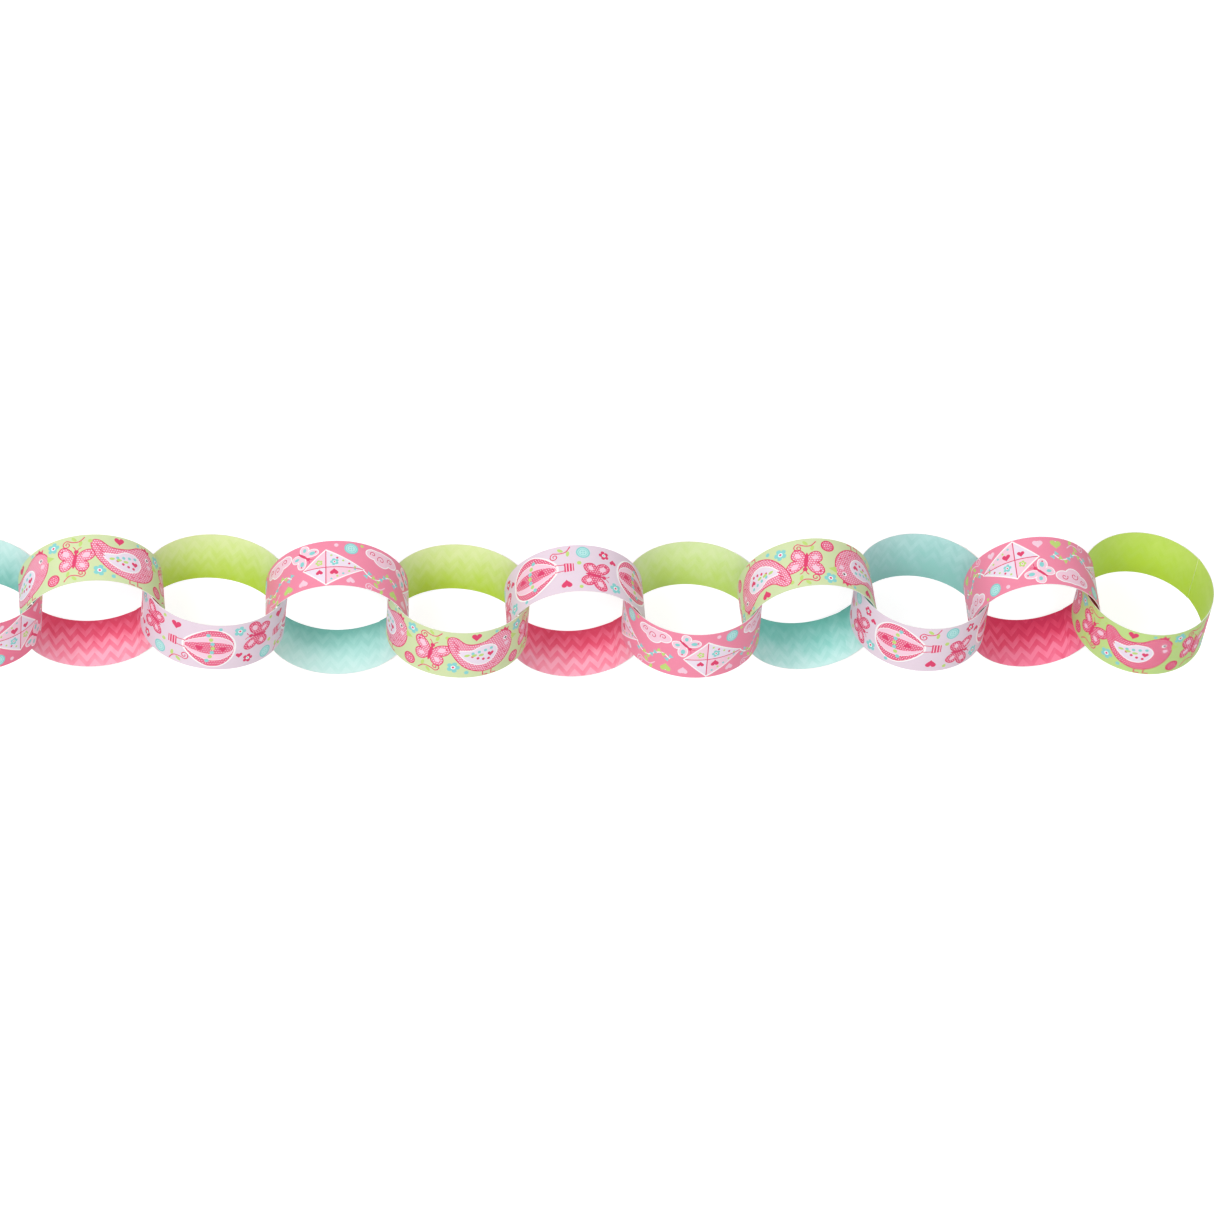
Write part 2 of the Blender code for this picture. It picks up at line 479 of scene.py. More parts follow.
def kite():
    """A kite lying along the strip, with a tail of bows."""
    tail = smooth_open(KITE_TAIL)
    shapes = [
        ("white", stroke(tail, BOLD_LINE)),
        ("white", grown(list(KITE), BROAD_HALO)),
        ("pale_pink", list(KITE)),
        ("patch", [(0.0, 0.0), KITE_TOP, (0.0, KITE_HALF)]),
        ("patch", [(0.0, 0.0), KITE_POINT, (0.0, -KITE_HALF)]),
        ("deep_pink", stroke([(0.0, KITE_HALF), (0.0, -KITE_HALF)], PLAIN_LINE)),
        ("deep_pink", stroke([KITE_TOP, KITE_POINT], PLAIN_LINE)),
    ]
    shapes += heart(-3.6, 2.7, 3.8, "deep_pink")
    shapes += heart(2.9, 2.6, 3.2, "deep_pink")
    shapes += flower(-3.8, -2.9, 2.0, "aqua", "deep_pink")
    shapes += flower(3.0, -2.8, 1.7, "leaf", "deep_pink")
    margin = 1.4
    for i in range(5):
        x = -2.4 - 2.6 * i
        beside_edge = KITE_HALF * (1 - x / KITE_POINT[0]) - margin
        for side, inks in ((1, ("aqua", "leaf")), (-1, ("leaf", "deep_pink"))):
            shapes.append((inks[i % 2], dot(x, side * beside_edge, 0.55, 8)))
    for i, place in enumerate((3, 7, 11, 15, 19)):
        shapes += bow(*tail[place], 50 - 80 * (i % 2), ("aqua", "leaf")[i % 2])
    return shapes


ENVELOPE = (
    (12.0, 0.0), (10.8, 5.0), (6.6, 9.0), (0.8, 9.8), (-5.0, 7.0), (-9.6, 2.8), (-10.6, 0.0),
    (-9.6, -2.8), (-5.0, -7.0), (0.8, -9.8), (6.6, -9.0), (10.8, -5.0),
)
SEAM_LENGTH, SEAM_WIDTH = 0.985, 0.68  # of the loop that two seams make, in parts of the envelope's


def balloon():
    """A hot air balloon lying along the strip, with striped gores and a basket."""
    shapes = [("white", grown(smooth_closed(ENVELOPE), BROAD_HALO))]
    gores = (
        ("deep_pink", 1.0, 1.03),
        ("rose", 1.0, 1.0),
        ("pale_pink", SEAM_LENGTH, SEAM_WIDTH),
        ("rose", SEAM_LENGTH, SEAM_WIDTH / 2),
    )
    for ink, length, width in gores:
        shapes.append((ink, smooth_closed([(x * length, y * width) for x, y in ENVELOPE])))
    for side in (1, -1):
        seam = smooth_open([(x * SEAM_LENGTH, side * abs(y) * SEAM_WIDTH) for x, y in ENVELOPE[:7]])
        shapes.append(("white", stroke(seam, HAIRLINE)))
    for side in (1, -1):
        rope = [(-10.2, 2.0 * side), (-14.2, 1.6 * side)]
        shapes.append(("deep_pink", stroke(rope, FINE_LINE)))
    shapes.append(("deep_pink", [(-14.0, 2.4), (-18.2, 2.0), (-18.2, -2.0), (-14.0, -2.4)]))
    for x in (-14.9, -16.2, -17.5):
        shapes.append(("pale_pink", stroke([(x, 2.1), (x, -2.1)], PLAIN_LINE)))
    bend = 0.045  # of the row of dots round the middle
    for i in range(7):
        y = 7.2 - 2.4 * i
        shapes.append((("aqua", "leaf")[i % 2], dot(2.6 - bend * y * y, y, 1.0)))
    return shapes + heart(7.0, -0.4, 3.4, "deep_pink") + heart(-3.4, -0.3, 3.4, "deep_pink")


SHEET_REPEAT = 50.8  # millimetres along the strip, a quarter of its length


def bird_sheet():
    """Birds and butterflies on lime."""
    return (
        placed(bird(), -8.4, -0.2)
        + placed(butterfly("pink", "pale_pink", "deep_pink", "deep_pink"), 17.6, -0.8, -12)
        + heart(-13.0, 10.0, 4.6, "deep_pink")
        + flower(8.2, 8.8, 2.9, "aqua", "deep_pink")
        + button(7.4, -8.6, 3.0, "deep_pink", "pink")
        + flower(-22.6, -7.0, 3.0, "aqua", "deep_pink")
        + placed(tendril("deep_pink", "leaf"), 17.8, -9.2)
        + placed(tendril("deep_pink", "leaf"), 17.0, 9.6, 180)
        + specks(("aqua", -16.6, -9.8, 1.0), ("leaf", 24.9, 9.2, 1.0), ("aqua", -3.6, 11.0, 0.8))
    )


def kite_sheet():
    """Kites, clouds and butterflies on hot pink."""
    return (
        placed(kite(), 12.2, 2.2)
        + placed(cloud("pale_pink", "white", "deep_pink"), -14.2, -8.0)
        + placed(butterfly("pale_pink", "aqua", "deep_pink", "white"), 22.6, -6.4, 46, 0.74)
        + placed(tendril("pale_pink", "leaf"), -9.6, 10.0)
        + button(1.0, -8.6, 3.1, "aqua", "pale_aqua")
        + heart(-20.4, 9.2, 5.0, "leaf", "white")
        + heart(1.4, 9.4, 3.8, "pale_pink")
        + heart(22.6, 9.0, 4.4, "pale_pink", "white")
        + specks(("leaf", -3.9, -11.0, 0.8), ("pale_pink", 7.6, -10.2, 1.0))
    )


def balloon_sheet():
    """Hot air balloons and butterflies on lilac."""
    return (
        placed(balloon(), 9.4, -0.6)
        + placed(butterfly("rose", "pale_pink", "deep_pink", "deep_pink"), -17.6, 3.6, 80, 0.92)
        + placed(tendril("deep_pink", "leaf"), -2.6, -9.0, 12)
        + button(-13.2, -8.6, 3.1, "aqua", "pale_aqua")
        + heart(-5.2, 8.4, 4.8, "deep_pink")
        + flower(23.6, 8.4, 2.8, "aqua", "deep_pink")
        + flower(-22.6, -8.2, 2.4, "deep_pink", "aqua")
        + heart(24.0, -5.4, 3.2, "deep_pink")
        + specks(("leaf", -11.2, -2.8, 1.0), ("leaf", -11.4, 10.2, 0.9), ("aqua", 14.8, 10.4, 0.9))
    )


SHEETS = {"hot_pink": kite_sheet, "lime": bird_sheet, "lilac": balloon_sheet}
INKS = tuple(InkColours.__annotations__)
STIPPLES = {"pink": 0.34, "rose": 0.24}  # radius of their pale dots, as a share of the dots' pitch


# The rolled strip


class Loop:
    """A strip rolled into a link: where each place along and across the strip comes to lie."""

    def __init__(self, index, sizes):
        self.link, self.index, self.sizes = LINKS[index], index, sizes
        self.radius = (sizes.length - sizes.lap) / math.tau
        self.side = 1 if index % 2 == 0 else -1
        self.start = self.side * sizes.lap_position - sizes.lap / self.radius / 2

    def axes(self):
        """The loop's own axes as columns: to its right end, round from there, and along the loop."""
        lean, turn = math.radians(self.link.lean), math.radians(self.link.turn)
        axis = Vector(
            (
                math.sin(lean) * math.sin(turn),
                self.side * math.sin(lean) * math.cos(turn),
                math.cos(lean),
            )
        )
        right = (Vector((1, 0, 0)) - axis * axis.x).normalized()
        return np.array((right, axis.cross(right), axis)).T

    def points(self, flat, outward):
        """Where places on the flat strip lie about the loop's middle, at a height above mid-paper."""
        angle = self.start + flat[:, 0] / self.radius
        still_to_climb = self.sizes.length - self.sizes.lap - flat[:, 0]
        share = np.clip(1 - still_to_climb / self.sizes.climb, 0, 1)
        rise = (self.sizes.thickness + self.sizes.glue) * share * share * (3 - 2 * share)
        reach = self.radius * (1 + self.link.oval * np.cos(2 * angle)) + rise + outward
        own = np.stack((reach * np.cos(angle), reach * np.sin(angle), flat[:, 1]), -1)
        return own @ self.axes().T

    def normals(self, flat):
        """The paper's outward direction at places on the flat strip."""
        angle = self.start + flat[:, 0] / self.radius
        slope = -2 * self.link.oval * np.sin(2 * angle) / (1 + self.link.oval * np.cos(2 * angle))
        tilted = angle - np.arctan(slope)
        return np.stack((np.cos(tilted), np.sin(tilted), 0 * tilted), -1) @ self.axes().T


def strip_columns(sizes):
    return round(sizes.length / sizes.column)


INSIDE_FACES = 1  # asks for triangles inside the given faces only
SAME_PLACE = 1e-5  # millimetres within which two places are one


def flat_print(loop):
    """The printed side before it is rolled: places in metres, triangles, and each triangle's ink."""
    link, sizes = loop.link, loop.sizes
    length, width = sizes.length / MM, sizes.width / MM
    count = strip_columns(sizes)
    columns = [length * i / count for i in range(count + 1)]
    places, edges, faces, inks = [], [], [], []

    def add_face(points, ink):
        if signed_area(points) < 0:
            points = points[::-1]
        faces.append(list(range(len(places), len(places) + len(points))))
        places.extend(points)
        inks.append(ink)

    add_face([(x, -width / 2) for x in columns] + [(x, width / 2) for x in columns[::-1]], 0)
    last = len(places) - 1
    edges += [(i, last - i) for i in range(len(columns))]
    for row in range(1, sizes.rows):
        y = width * (row / sizes.rows - 0.5)
        edges.append((len(places), len(places) + 1))
        places += [(0.0, y), (length, y)]
    sheet, turn = SHEETS[link.outside](), 180 if link.flipped else 0
    for repeat in range(-1, math.ceil(length / SHEET_REPEAT) + 2):
        for ink, points in placed(sheet, repeat * SHEET_REPEAT - link.cut, 0.0, turn):
            if max(x for x, y in points) > 0 and min(x for x, y in points) < length:
                add_face(points, INKS.index(ink) + 1)
    vectors = [Vector(place) for place in places]
    found = delaunay_2d_cdt(vectors, edges, faces, INSIDE_FACES, SAME_PLACE, True)
    flat, _, found_triangles, _, _, sources = found
    triangles, triangle_inks = [], []
    for triangle, own in zip(found_triangles, sources):
        if 0 in own:
            triangles.append(list(triangle))
            triangle_inks.append(inks[max(own)])
    return np.array([place[:] for place in flat]) * MM, triangles, triangle_inks


def without_strays(flat, triangles):
    """The places that the triangles use, and the triangles in their new numbers."""
    used = sorted({place for triangle in triangles for place in triangle})
    number = {place: i for i, place in enumerate(used)}
    return flat[used], [[number[place] for place in triangle] for triangle in triangles]


def rims(flat, inner_at, sizes):
    """Faces along the two long edges and at the two ends, between the print and the inside."""
    length, half, near = sizes.length, sizes.width / 2, 1e-6
    columns, rows = strip_columns(sizes), sizes.rows
    faces = []

    def rim_at(axis, value):
        on_it = np.flatnonzero(abs(flat[:, axis] - value) < near)
        return [int(place) for place in sorted(on_it, key=lambda place: flat[place, 1 - axis])]

    for side, row in ((-1, 0), (1, rows)):
        rim = rim_at(1, side * half)
        for column in range(columns):
            low, high = length * column / columns - near, length * (column + 1) / columns + near
            chain = [place for place in rim if low <= flat[place, 0] <= high]
            face = chain[::-1] + [inner_at(column, row), inner_at(column + 1, row)]
            faces.append(face if side < 0 else face[::-1])
    for column, along in ((0, 0.0), (columns, length)):
        face = rim_at(0, along) + [inner_at(column, row) for row in range(rows, -1, -1)]
        faces.append(face if column == 0 else face[::-1])
    return faces


def strip_mesh(name, loop):
    """One rolled strip in its link's place: a closed mesh, its print in faces of each colour."""
    sizes = loop.sizes
    columns, rows = strip_columns(sizes), sizes.rows
    flat, triangles, slots = flat_print(loop)
    flat, triangles = without_strays(flat, triangles)

    def inner_at(column, row):
        return len(flat) + column * (rows + 1) + row

    grid = np.meshgrid(
        np.linspace(0, sizes.length, columns + 1),
        np.linspace(-sizes.width / 2, sizes.width / 2, rows + 1),
        indexing="ij",
    )
    inner_flat = np.stack([axis.ravel() for axis in grid], -1)
    inside = [
        [inner_at(c, r), inner_at(c, r + 1), inner_at(c + 1, r + 1), inner_at(c + 1, r)]
        for c in range(columns)
        for r in range(rows)
    ]
    cut_edges = rims(flat, inner_at, sizes)
    half = sizes.thickness / 2
    places = np.concatenate((loop.points(flat, half), loop.points(inner_flat, -half)))
    places += link_middle(loop.index) - (places.min(0) + places.max(0)) / 2
    mesh = bpy.data.meshes.new(name)
    mesh.from_pydata(places.tolist(), [], triangles + inside + cut_edges)
    slots += [len(INKS) + 1] * len(inside) + [len(INKS) + 2] * len(cut_edges)
    mesh.polygons.foreach_set("material_index", slots)
    mesh.polygons.foreach_set("use_smooth", [True] * len(slots))
    set_normals_and_map(mesh, loop, np.concatenate((flat, inner_flat)), len(triangles), len(inside))
    return mesh


def set_normals_and_map(mesh, loop, flat, printed, inside):
    """Round shading on both sides, square shading at the cut edges, and the strip's own map."""
    vertex = np.empty(len(mesh.loops), np.int32)
    mesh.loops.foreach_get("vertex_index", vertex)
    corners = [polygon.loop_total for polygon in mesh.polygons]
    face = np.repeat(np.arange(len(corners)), corners)
    outward = loop.normals(flat[vertex])
    outward[face >= printed] *= -1
    square = np.array([polygon.normal for polygon in mesh.polygons])[face]
    on_a_side = (face < printed + inside)[:, None]
    mesh.normals_split_custom_set(np.where(on_a_side, outward, square).tolist())
    strip_map = mesh.uv_layers.new(name="strip")
    on_sheet = flat[vertex] + (loop.link.cut * MM, 0.0)
    strip_map.uv.foreach_set("vector", on_sheet.astype(np.float32).ravel())


def node_name(index):
    return f"paper_link_{index + 1:02d}"


def link_middle(index):
    """The middle of the box of a link's plain node."""
    return np.array(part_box(node_name(index))).mean(0)


def make_link(context, index):
    """One printed link in the place of its plain one."""
    loop = Loop(index, context.scene.garland_strip)
    name = f"printed_strip_{index + 1:02d}"
    mesh = strip_mesh(name, loop)
    for material in link_materials(context.scene, loop.link):
        mesh.materials.append(material)
    link = bpy.data.objects.new(name, mesh)
    context.scene.collection.objects.link(link)
    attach(link, BODY)
    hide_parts(node_name(index))


def make_links(context, paper):
    for index, link in enumerate(LINKS):
        if link.outside == paper:
            make_link(context, index)


# Materials


def new_group(name, inputs, outputs):
    """A shader node group, still empty: its inputs with their defaults, and its number outputs."""
    group = bpy.data.node_groups.new(name, "ShaderNodeTree")
    for label, default in inputs.items():
        kind = "NodeSocketVector" if isinstance(default, tuple) else "NodeSocketFloat"
        socket = group.interface.new_socket(name=label, in_out="INPUT", socket_type=kind)
        socket.default_value = default
    for label in outputs:
        group.interface.new_socket(name=label, in_out="OUTPUT", socket_type="NodeSocketFloat")
    given = group.nodes.new("NodeGroupInput").outputs
    made = group.nodes.new("NodeGroupOutput").inputs
    return group, given, made


def calculate(tree, operation, *values):
    """A Math node on sockets or numbers. Returns its output."""
    node = tree.nodes.new("ShaderNodeMath")
    node.operation = operation
    for socket, value in zip(node.inputs, values):
        if isinstance(value, bpy.types.NodeSocket):
            tree.links.new(value, socket)
        else:
            socket.default_value = value
    return node.outputs[0]


def noise(tree, where, scale, detail):
    node = tree.nodes.new("ShaderNodeTexNoise")
    node.inputs["Detail"].default_value = detail
    tree.links.new(where, node.inputs["Vector"])
    tree.links.new(scale, node.inputs["Scale"])
    return node.outputs["Fac"]


def paper_tooth_group():
    """Fine fibre texture of printed paper: a shade, a roughness and a height."""
    mottle_share, roughness_swing = 0.7, 0.14
    group, given, made = new_group(
        "Paper tooth",
        {"Fibre Scale": 2600.0, "Mottle Scale": 160.0, "Shade Depth": 0.06, "Dullness": 0.5},
        ("Shade", "Roughness", "Height"),
    )
    where = group.nodes.new("ShaderNodeTexCoord").outputs["Object"]
    fibre = noise(group, where, given["Fibre Scale"], 3.0)
    mottle = noise(group, where, given["Mottle Scale"], 2.0)
    height = calculate(group, "MULTIPLY_ADD", mottle, mottle_share, fibre)
    centred = calculate(group, "SUBTRACT", height, 0.5 + 0.5 * mottle_share)
    shade = calculate(group, "MULTIPLY_ADD", centred, given["Shade Depth"], 1.0)
    roughness = calculate(group, "MULTIPLY_ADD", centred, roughness_swing, given["Dullness"])
    group.links.new(shade, made["Shade"])
    group.links.new(roughness, made["Roughness"])
    group.links.new(height, made["Height"])
    return group


def chevron_group():
    """Zigzag rows along the strip: how far across it a place is, and whether it is in a pale row."""
    group, given, made = new_group(
        "Chevron rows",
        {
            "Strip": (0.0, 0.0, 0.0),
            "Wave": 0.0071,
            "Pitch": 0.0068,
            "Swing": 0.0051,
            "Pale": 0.5,
            "Width": 0.0254,
        },
        ("Across", "Pale Row"),
    )
    axes = group.nodes.new("ShaderNodeSeparateXYZ")
    group.links.new(given["Strip"], axes.inputs[0])
    half_wave = calculate(group, "MULTIPLY", given["Wave"], 0.5)
    to_and_fro = calculate(group, "PINGPONG", axes.outputs["X"], half_wave)
    zigzag = calculate(group, "DIVIDE", to_and_fro, half_wave)
    lifted = calculate(group, "MULTIPLY_ADD", zigzag, given["Swing"], axes.outputs["Y"])
    place = calculate(group, "FRACT", calculate(group, "DIVIDE", lifted, given["Pitch"]))
    group.links.new(calculate(group, "LESS_THAN", place, given["Pale"]), made["Pale Row"])
    across = calculate(group, "DIVIDE", axes.outputs["Y"], given["Width"])
    group.links.new(calculate(group, "ADD", across, 0.5), made["Across"])
    return group


def stipple_group():
    """Fine dots in staggered rows, as a mask."""
    group, given, made = new_group(
        "Stipple",
        {"Strip": (0.0, 0.0, 0.0), "Pitch": 0.0011, "Dot": 0.34},
        ("Mask",),
    )
    axes = group.nodes.new("ShaderNodeSeparateXYZ")
    group.links.new(given["Strip"], axes.inputs[0])
    x = calculate(group, "DIVIDE", axes.outputs["X"], given["Pitch"])
    y = calculate(group, "DIVIDE", axes.outputs["Y"], given["Pitch"])
    odd_row = calculate(group, "FLOORED_MODULO", calculate(group, "FLOOR", y), 2.0)
    x = calculate(group, "MULTIPLY_ADD", odd_row, 0.5, x)
    dx = calculate(group, "SUBTRACT", calculate(group, "FRACT", x), 0.5)
    dy = calculate(group, "SUBTRACT", calculate(group, "FRACT", y), 0.5)
    square = calculate(group, "MULTIPLY_ADD", dx, dx, calculate(group, "MULTIPLY", dy, dy))
    from_middle = calculate(group, "SQRT", square)
    group.links.new(calculate(group, "LESS_THAN", from_middle, given["Dot"]), made["Mask"])
    return group


def cloud_group():
    """Soft streaks and broad washes in the ink: how much paler or deeper it is there, about 0."""
    streak_scale, wash_scale, wash_share = (1.0, 0.5, 1.0), 0.25, 0.6
    group, given, made = new_group(
        "Ink clouds",
        {"Strip": (0.0, 0.0, 0.0), "Scale": 190.0, "Strength": 0.5},
        ("Shift",),
    )
    stretched = group.nodes.new("ShaderNodeVectorMath")
    stretched.operation = "MULTIPLY"
    stretched.inputs[1].default_value = streak_scale
    group.links.new(given["Strip"], stretched.inputs[0])
    streaks = noise(group, stretched.outputs[0], given["Scale"], 3.0)
    broad = calculate(group, "MULTIPLY", given["Scale"], wash_scale)
    washes = noise(group, given["Strip"], broad, 1.0)
    both = calculate(group, "MULTIPLY_ADD", washes, wash_share, streaks)
    centred = calculate(group, "SUBTRACT", both, 0.5 + 0.5 * wash_share)
    group.links.new(calculate(group, "MULTIPLY", centred, given["Strength"]), made["Shift"])
    return group


SHARED_GROUPS = {
    "Paper tooth": paper_tooth_group,
    "Chevron rows": chevron_group,
    "Stipple": stipple_group,
    "Ink clouds": cloud_group,
}


def add_group(tree, name, **values):
    """A node of a shared group, which is built the first time, with this material's own values."""
    node = tree.nodes.new("ShaderNodeGroup")
    node.node_tree = bpy.data.node_groups.get(name) or SHARED_GROUPS[name]()
    for label, value in values.items():
        node.inputs[label].default_value = value
    return node


def strip_places(tree):
    """The strip's own map: metres along and across it."""
    node = tree.nodes.new("ShaderNodeUVMap")
    node.uv_map = "strip"
    return node.outputs["UV"]


def mixed(tree, blend, factor, first, second):
    """A colour Mix node on sockets, numbers or plain colours. Returns its output."""
    node = tree.nodes.new("ShaderNodeMix")
    node.data_type, node.blend_type = "RGBA", blend
    colours = [socket for socket in node.inputs if socket.type == "RGBA"]
    for socket, value in zip((node.inputs[0], *colours), (factor, first, second)):
        if isinstance(value, bpy.types.NodeSocket):
            tree.links.new(value, socket)
        elif isinstance(value, (int, float)):
            socket.default_value = value
        else:
            socket.default_value = (*value, 1.0)
    return next(socket for socket in node.outputs if socket.type == "RGBA")


PRINTED_DULLNESS = 0.46
CORE_DULLNESS = 0.7


def paper_material(name, colour_of, dullness=PRINTED_DULLNESS):
    """Printed paper: the colour that the function makes, under the paper's tooth."""
    material = bpy.data.materials.new(name)
    material.use_nodes = True
    tree = material.node_tree
    shader = tree.nodes["Principled BSDF"]
    shader.inputs["IOR"].default_value = 1.45
    shader.inputs["Specular IOR Level"].default_value = 0.15
    tooth = add_group(tree, "Paper tooth", Dullness=dullness)
    colour = mixed(tree, "MULTIPLY", 1.0, colour_of(tree), tooth.outputs["Shade"])
    tree.links.new(colour, shader.inputs["Base Color"])
    tree.links.new(tooth.outputs["Roughness"], shader.inputs["Roughness"])
    bump = tree.nodes.new("ShaderNodeBump")
    bump.inputs["Strength"].default_value = 0.35
    bump.inputs["Distance"].default_value = 0.00003
    tree.links.new(tooth.outputs["Height"], bump.inputs["Height"])
    tree.links.new(bump.outputs["Normal"], shader.inputs["Normal"])
    return material


def plain_print(name, colour, dullness=PRINTED_DULLNESS):
    """A flat printed colour on paper."""
    return paper_material(name, lambda tree: tuple(colour), dullness)


def stippled_print(name, colour, dots, size):
    """A printed colour with a fine pattern of paler dots, their radius a share of their pitch."""

    def colour_of(tree):
        stipple = add_group(tree, "Stipple", Dot=size)
        tree.links.new(strip_places(tree), stipple.inputs["Strip"])
        return mixed(tree, "MIX", stipple.outputs["Mask"], tuple(colour), tuple(dots))

    return paper_material(name, colour_of)


class Chevrons(NamedTuple):
    """A print's colours across the strip from its lower rim up, deeper towards that rim by painted
    shade, how far its rows differ, and how cloudy its ink is.
    """

    deep: tuple
    middle: tuple
    pale: tuple
    contrast: float
    clouds: float


# Deep colours at the lower rim, pale at the upper: partly a printed fade, partly painted shade deep in
# the loop. deep_teal is also deepened by painted shade from the neighbouring link.
INSIDES = {
    "rose": Chevrons((234, 81, 114), (251, 121, 153), (255, 182, 203), 0.22, 0.8),
    "deep_rose": Chevrons((225, 62, 102), (245, 86, 124), (254, 143, 174), 0.23, 0.8),
    "fresh_lime": Chevrons((196, 228, 80), (207, 232, 126), (226, 241, 178), 0.06, 0.55),
    "soft_lime": Chevrons((201, 231, 120), (208, 234, 144), (222, 240, 182), 0.07, 0.8),
    "deep_lime": Chevrons((193, 226, 74), (193, 226, 88), (202, 230, 112), 0.07, 0.8),
    "teal": Chevrons((130, 201, 190), (178, 230, 223), (212, 243, 239), 0.06, 0.42),
    "deep_teal": Chevrons((124, 208, 194), (156, 225, 216), (208, 244, 240), 0.07, 0.7),
    "even_teal": Chevrons((156, 216, 208), (161, 215, 210), (188, 230, 227), 0.12, 1.0),
}


TONE_STOPS = (0.0, 0.1, 0.45, 0.85, 1.0)  # deep, deep, middle, pale and pale, as shares of the width from the lower rim; the deep end is partly painted shade
DEEP_ROW_INK = 0.9  # how much of the deepest colour the deep rows take, times the contrast


def chevrons_with_painted_shade(name, look, rows, width):
    """Zigzag rows on a ground that grows paler across the strip, up from its lower rim: partly a
    printed fade, partly painted shade deep in the loop.
    """

    def colour_of(tree):
        where = strip_places(tree)
        sizes = {"Wave": rows.wave, "Pitch": rows.pitch, "Swing": rows.swing, "Pale": rows.pale}
        chevron = add_group(tree, "Chevron rows", Width=width, **sizes)
        clouds = add_group(tree, "Ink clouds", Strength=look.clouds)
        for node in (chevron, clouds):
            tree.links.new(where, node.inputs["Strip"])
        tone = calculate(tree, "ADD", chevron.outputs["Across"], clouds.outputs["Shift"])
        row = calculate(tree, "SUBTRACT", chevron.outputs["Pale Row"], 0.5)
        tone = calculate(tree, "MULTIPLY_ADD", row, look.contrast, tone)
        ramp = tree.nodes.new("ShaderNodeValToRGB")
        ramp.color_ramp.interpolation = "B_SPLINE"
        tree.links.new(tone, ramp.inputs["Fac"])
        stops = ramp.color_ramp.elements
        colours = (look.deep, look.deep, look.middle, look.pale, look.pale)
        while len(stops) < len(colours):
            stops.new(1.0)
        for stop, position, colour in zip(stops, TONE_STOPS, colours):
            stop.position = position
            stop.color = (*shown(*colour), 1.0)
        deep_row = calculate(tree, "SUBTRACT", 1.0, chevron.outputs["Pale Row"])
        more_ink = calculate(tree, "MULTIPLY", deep_row, DEEP_ROW_INK * look.contrast)
        return mixed(tree, "MIX", more_ink, ramp.outputs["Color"], shown(*look.deep))

    return paper_material(name, colour_of)


def shared_material(name, make, *values):
    """The material of that name, made from the values the first time."""
    return bpy.data.materials.get(name) or make(name, *values)


def link_materials(settings, link):
    """The link's material slots: its ground, the inks, its inside and its cut edges."""
    papers, inks = settings.garland_papers, settings.garland_inks
    ground = f"deep_{link.outside}" if link.rich else link.outside
    materials = [shared_material(f"{ground}_ground", plain_print, getattr(papers, ground))]
    for name in INKS:
        ink = "rose" if link.rich and name == "pink" else name
        colour = getattr(inks, ink)
        if ink in STIPPLES:
            print_of_ink = stippled_print, colour, inks.pale_pink, STIPPLES[ink]
        else:
            print_of_ink = plain_print, colour
        materials.append(shared_material(f"{ink}_ink", *print_of_ink))
    look, rows, width = INSIDES[link.inside], settings.garland_chevrons, settings.garland_strip.width
    materials.append(shared_material(f"{link.inside}_chevrons", chevrons_with_painted_shade, look, rows, width))
    materials.append(shared_material("cut_edge", plain_print, papers.core, CORE_DULLNESS))
    return materials


# The stage, in metres

CAMERA_RANGE = (0.05, 20.0)
KEY_PLACE, KEY_SIDE = (-0.95, 0.3, 1.5), 0.7
FILL_PLACE, FILL_SIDE = (0.35, -0.45, 1.9), 1.4
FLOOR_GAP = 0.0002  # keeps the floor's face just under the faces that stand on it


def make_camera(stage):
    """Looks down on the garland from a little to the left, as the photograph does."""
    aim = Vector((*stage.aim, 0))
    back = Vector((-math.sin(stage.swing), 0, math.cos(stage.swing)))
    right = Vector((math.cos(stage.swing), 0, math.sin(stage.swing)))
    data = bpy.data.cameras.new("camera")
    data.sensor_fit = "HORIZONTAL"
    data.lens = data.sensor_width * stage.distance / stage.picture_width
    data.clip_start, data.clip_end = CAMERA_RANGE
    camera = bpy.data.objects.new("camera", data)
    turn = Matrix((right, back.cross(right), back)).transposed().to_4x4()
    camera.matrix_world = Matrix.Translation(aim + back * stage.distance) @ turn
    bpy.context.scene.collection.objects.link(camera)
    bpy.context.scene.camera = camera


def make_lamp(name, place, side, power):
    """A square lamp that shines on the garland's middle."""
    data = bpy.data.lights.new(name, "AREA")
    data.shape, data.size, data.energy = "SQUARE", side, power
    lamp = bpy.data.objects.new(name, data)
    lamp.location = place
    lamp.rotation_euler = (-Vector(place)).to_track_quat("-Z", "Y").to_euler()
    bpy.context.scene.collection.objects.link(lamp)


def white_to_eye(tree):
    """1 for what the camera sees directly, in gloss or through glass, and 0 for other light."""
    path = tree.nodes.new("ShaderNodeLightPath")
    seen = calculate(tree, "MAXIMUM", path.outputs["Is Camera Ray"], path.outputs["Is Glossy Ray"])
    return calculate(tree, "MAXIMUM", seen, path.outputs["Is Transmission Ray"])


def make_floor(stage):
    """A plain pale floor that shows nearly white and keeps the garland's shadow."""
    half = stage.floor_size / 2
    mesh = bpy.data.meshes.new("floor")
    corners = [(-half, -half, 0), (half, -half, 0), (half, half, 0), (-half, half, 0)]
    mesh.from_pydata(corners, [], [(0, 1, 2, 3)])
    floor = bpy.data.objects.new("floor", mesh)
    floor.location.z = -FLOOR_GAP
    material = bpy.data.materials.new("floor")
    material.use_nodes = True
    tree = material.node_tree
    shader = tree.nodes["Principled BSDF"]
    shader.inputs["Base Color"].default_value = (*stage.floor, 1.0)
    shader.inputs["Roughness"].default_value = 0.9
    shader.inputs["Specular IOR Level"].default_value = 0.0
    shader.inputs["Emission Color"].default_value = (1.0, 1.0, 1.0, 1.0)
    glow = calculate(tree, "MULTIPLY", white_to_eye(tree), stage.glow)
    tree.links.new(glow, shader.inputs["Emission Strength"])
    mesh.materials.append(material)
    bpy.context.scene.collection.objects.link(floor)


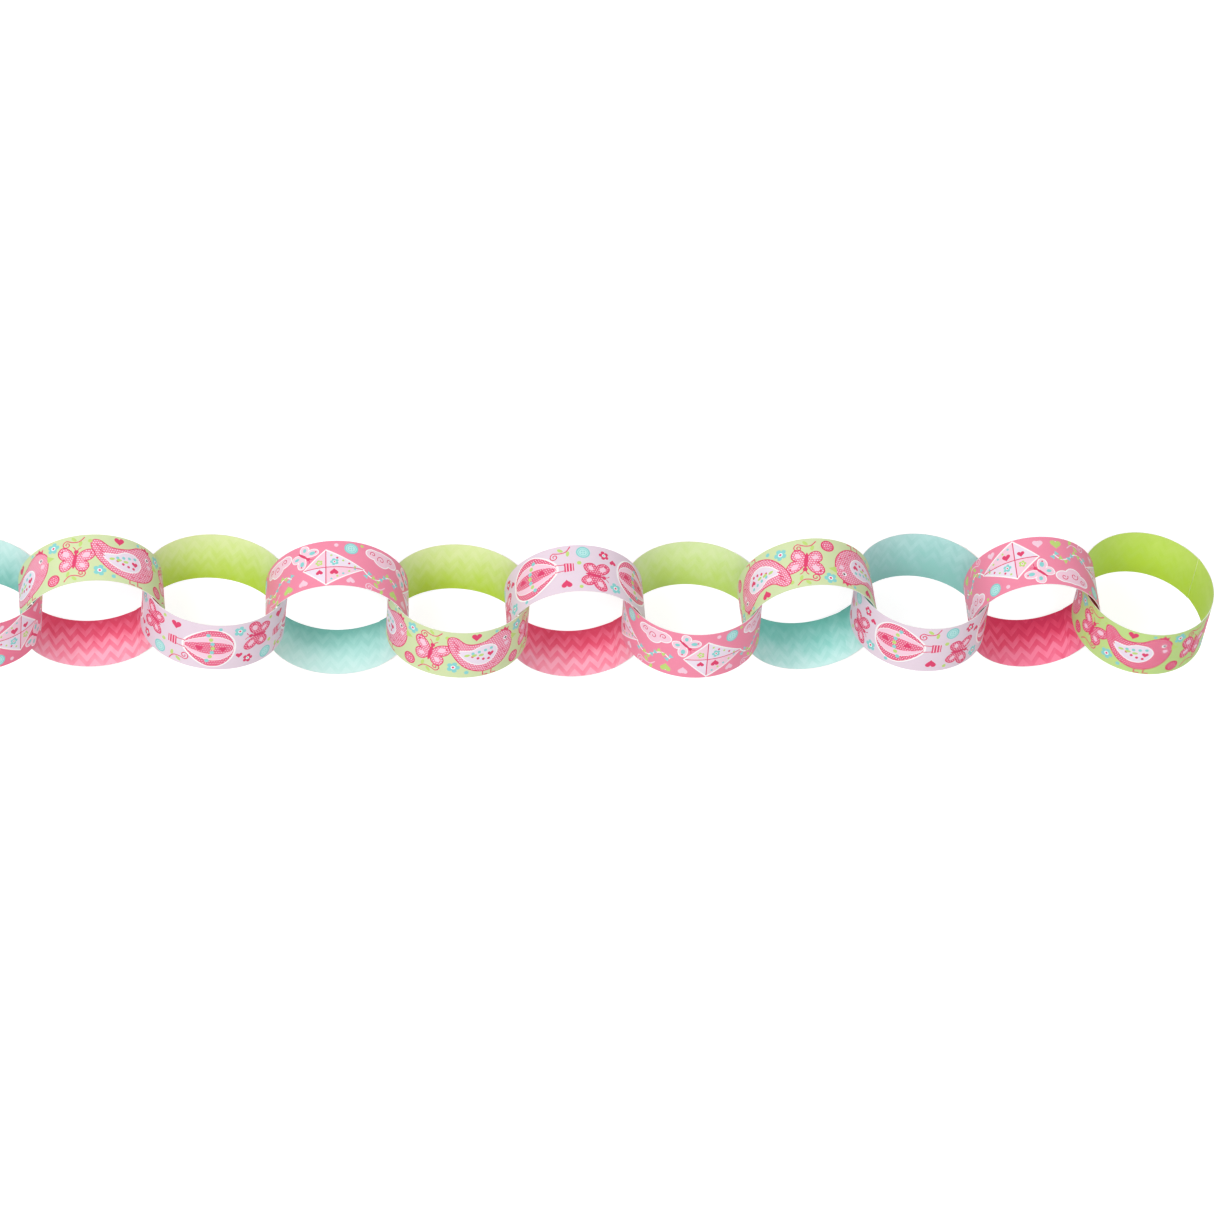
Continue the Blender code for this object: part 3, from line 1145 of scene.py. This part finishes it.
def make_sky(stage):
    """Even light from all round, white to the eye."""
    world = bpy.data.worlds.new("sky")
    world.use_nodes = True
    tree = world.node_tree
    background = tree.nodes["Background"]
    background.inputs["Color"].default_value = (1.0, 1.0, 1.0, 1.0)
    strength = calculate(tree, "MULTIPLY_ADD", white_to_eye(tree), 1.0 - stage.sky, stage.sky)
    tree.links.new(strength, background.inputs["Strength"])
    bpy.context.scene.world = world


# Operators and panel


class GARLAND_OT_stage(bpy.types.Operator):
    """Make the floor, the light and the camera"""

    bl_idname = "garland.stage"
    bl_label = "Stage"

    def execute(self, context):
        stage = context.scene.garland_stage
        make_camera(stage)
        make_floor(stage)
        make_sky(stage)
        make_lamp("key lamp", KEY_PLACE, KEY_SIDE, stage.key)
        make_lamp("fill lamp", FILL_PLACE, FILL_SIDE, stage.fill)
        return {"FINISHED"}


class GARLAND_OT_hot_pink_links(bpy.types.Operator):
    """Make the hot pink links, printed with kites"""

    bl_idname = "garland.hot_pink_links"
    bl_label = "Hot Pink Links"

    def execute(self, context):
        make_links(context, "hot_pink")
        return {"FINISHED"}


class GARLAND_OT_lime_links(bpy.types.Operator):
    """Make the lime links, printed with birds"""

    bl_idname = "garland.lime_links"
    bl_label = "Lime Links"

    def execute(self, context):
        make_links(context, "lime")
        return {"FINISHED"}


class GARLAND_OT_lilac_links(bpy.types.Operator):
    """Make the lilac links, printed with hot air balloons"""

    bl_idname = "garland.lilac_links"
    bl_label = "Lilac Links"

    def execute(self, context):
        make_links(context, "lilac")
        return {"FINISHED"}


OPERATORS = (
    GARLAND_OT_stage,
    GARLAND_OT_hot_pink_links,
    GARLAND_OT_lime_links,
    GARLAND_OT_lilac_links,
)


class GARLAND_PT_panel(bpy.types.Panel):
    """Settings and operators of the garland"""

    bl_idname = "GARLAND_PT_panel"
    bl_label = "Paper Chain Garland"
    bl_space_type = "VIEW_3D"
    bl_region_type = "UI"
    bl_category = "Garland"

    def draw(self, context):
        for operator in OPERATORS:
            self.layout.operator(operator.bl_idname)
        for name, group in SETTINGS.items():
            box = self.layout.box()
            box.label(text=group.__doc__.rstrip("."))
            for setting in group.__annotations__:
                box.prop(getattr(context.scene, name), setting)


def register():
    for group in (*SETTINGS.values(), *OPERATORS, GARLAND_PT_panel):
        bpy.utils.register_class(group)
    for name, group in SETTINGS.items():
        setattr(bpy.types.Scene, name, PointerProperty(type=group))


def unregister():
    for name in SETTINGS:
        delattr(bpy.types.Scene, name)
    for group in (GARLAND_PT_panel, *reversed(OPERATORS), *reversed(SETTINGS.values())):
        bpy.utils.unregister_class(group)


def main():
    register()
    bpy.context.scene.view_settings.view_transform = "Standard"
    bpy.ops.garland.stage()
    bpy.ops.garland.hot_pink_links()
    bpy.ops.garland.lime_links()
    bpy.ops.garland.lilac_links()


if __name__ == "__main__":
    main()
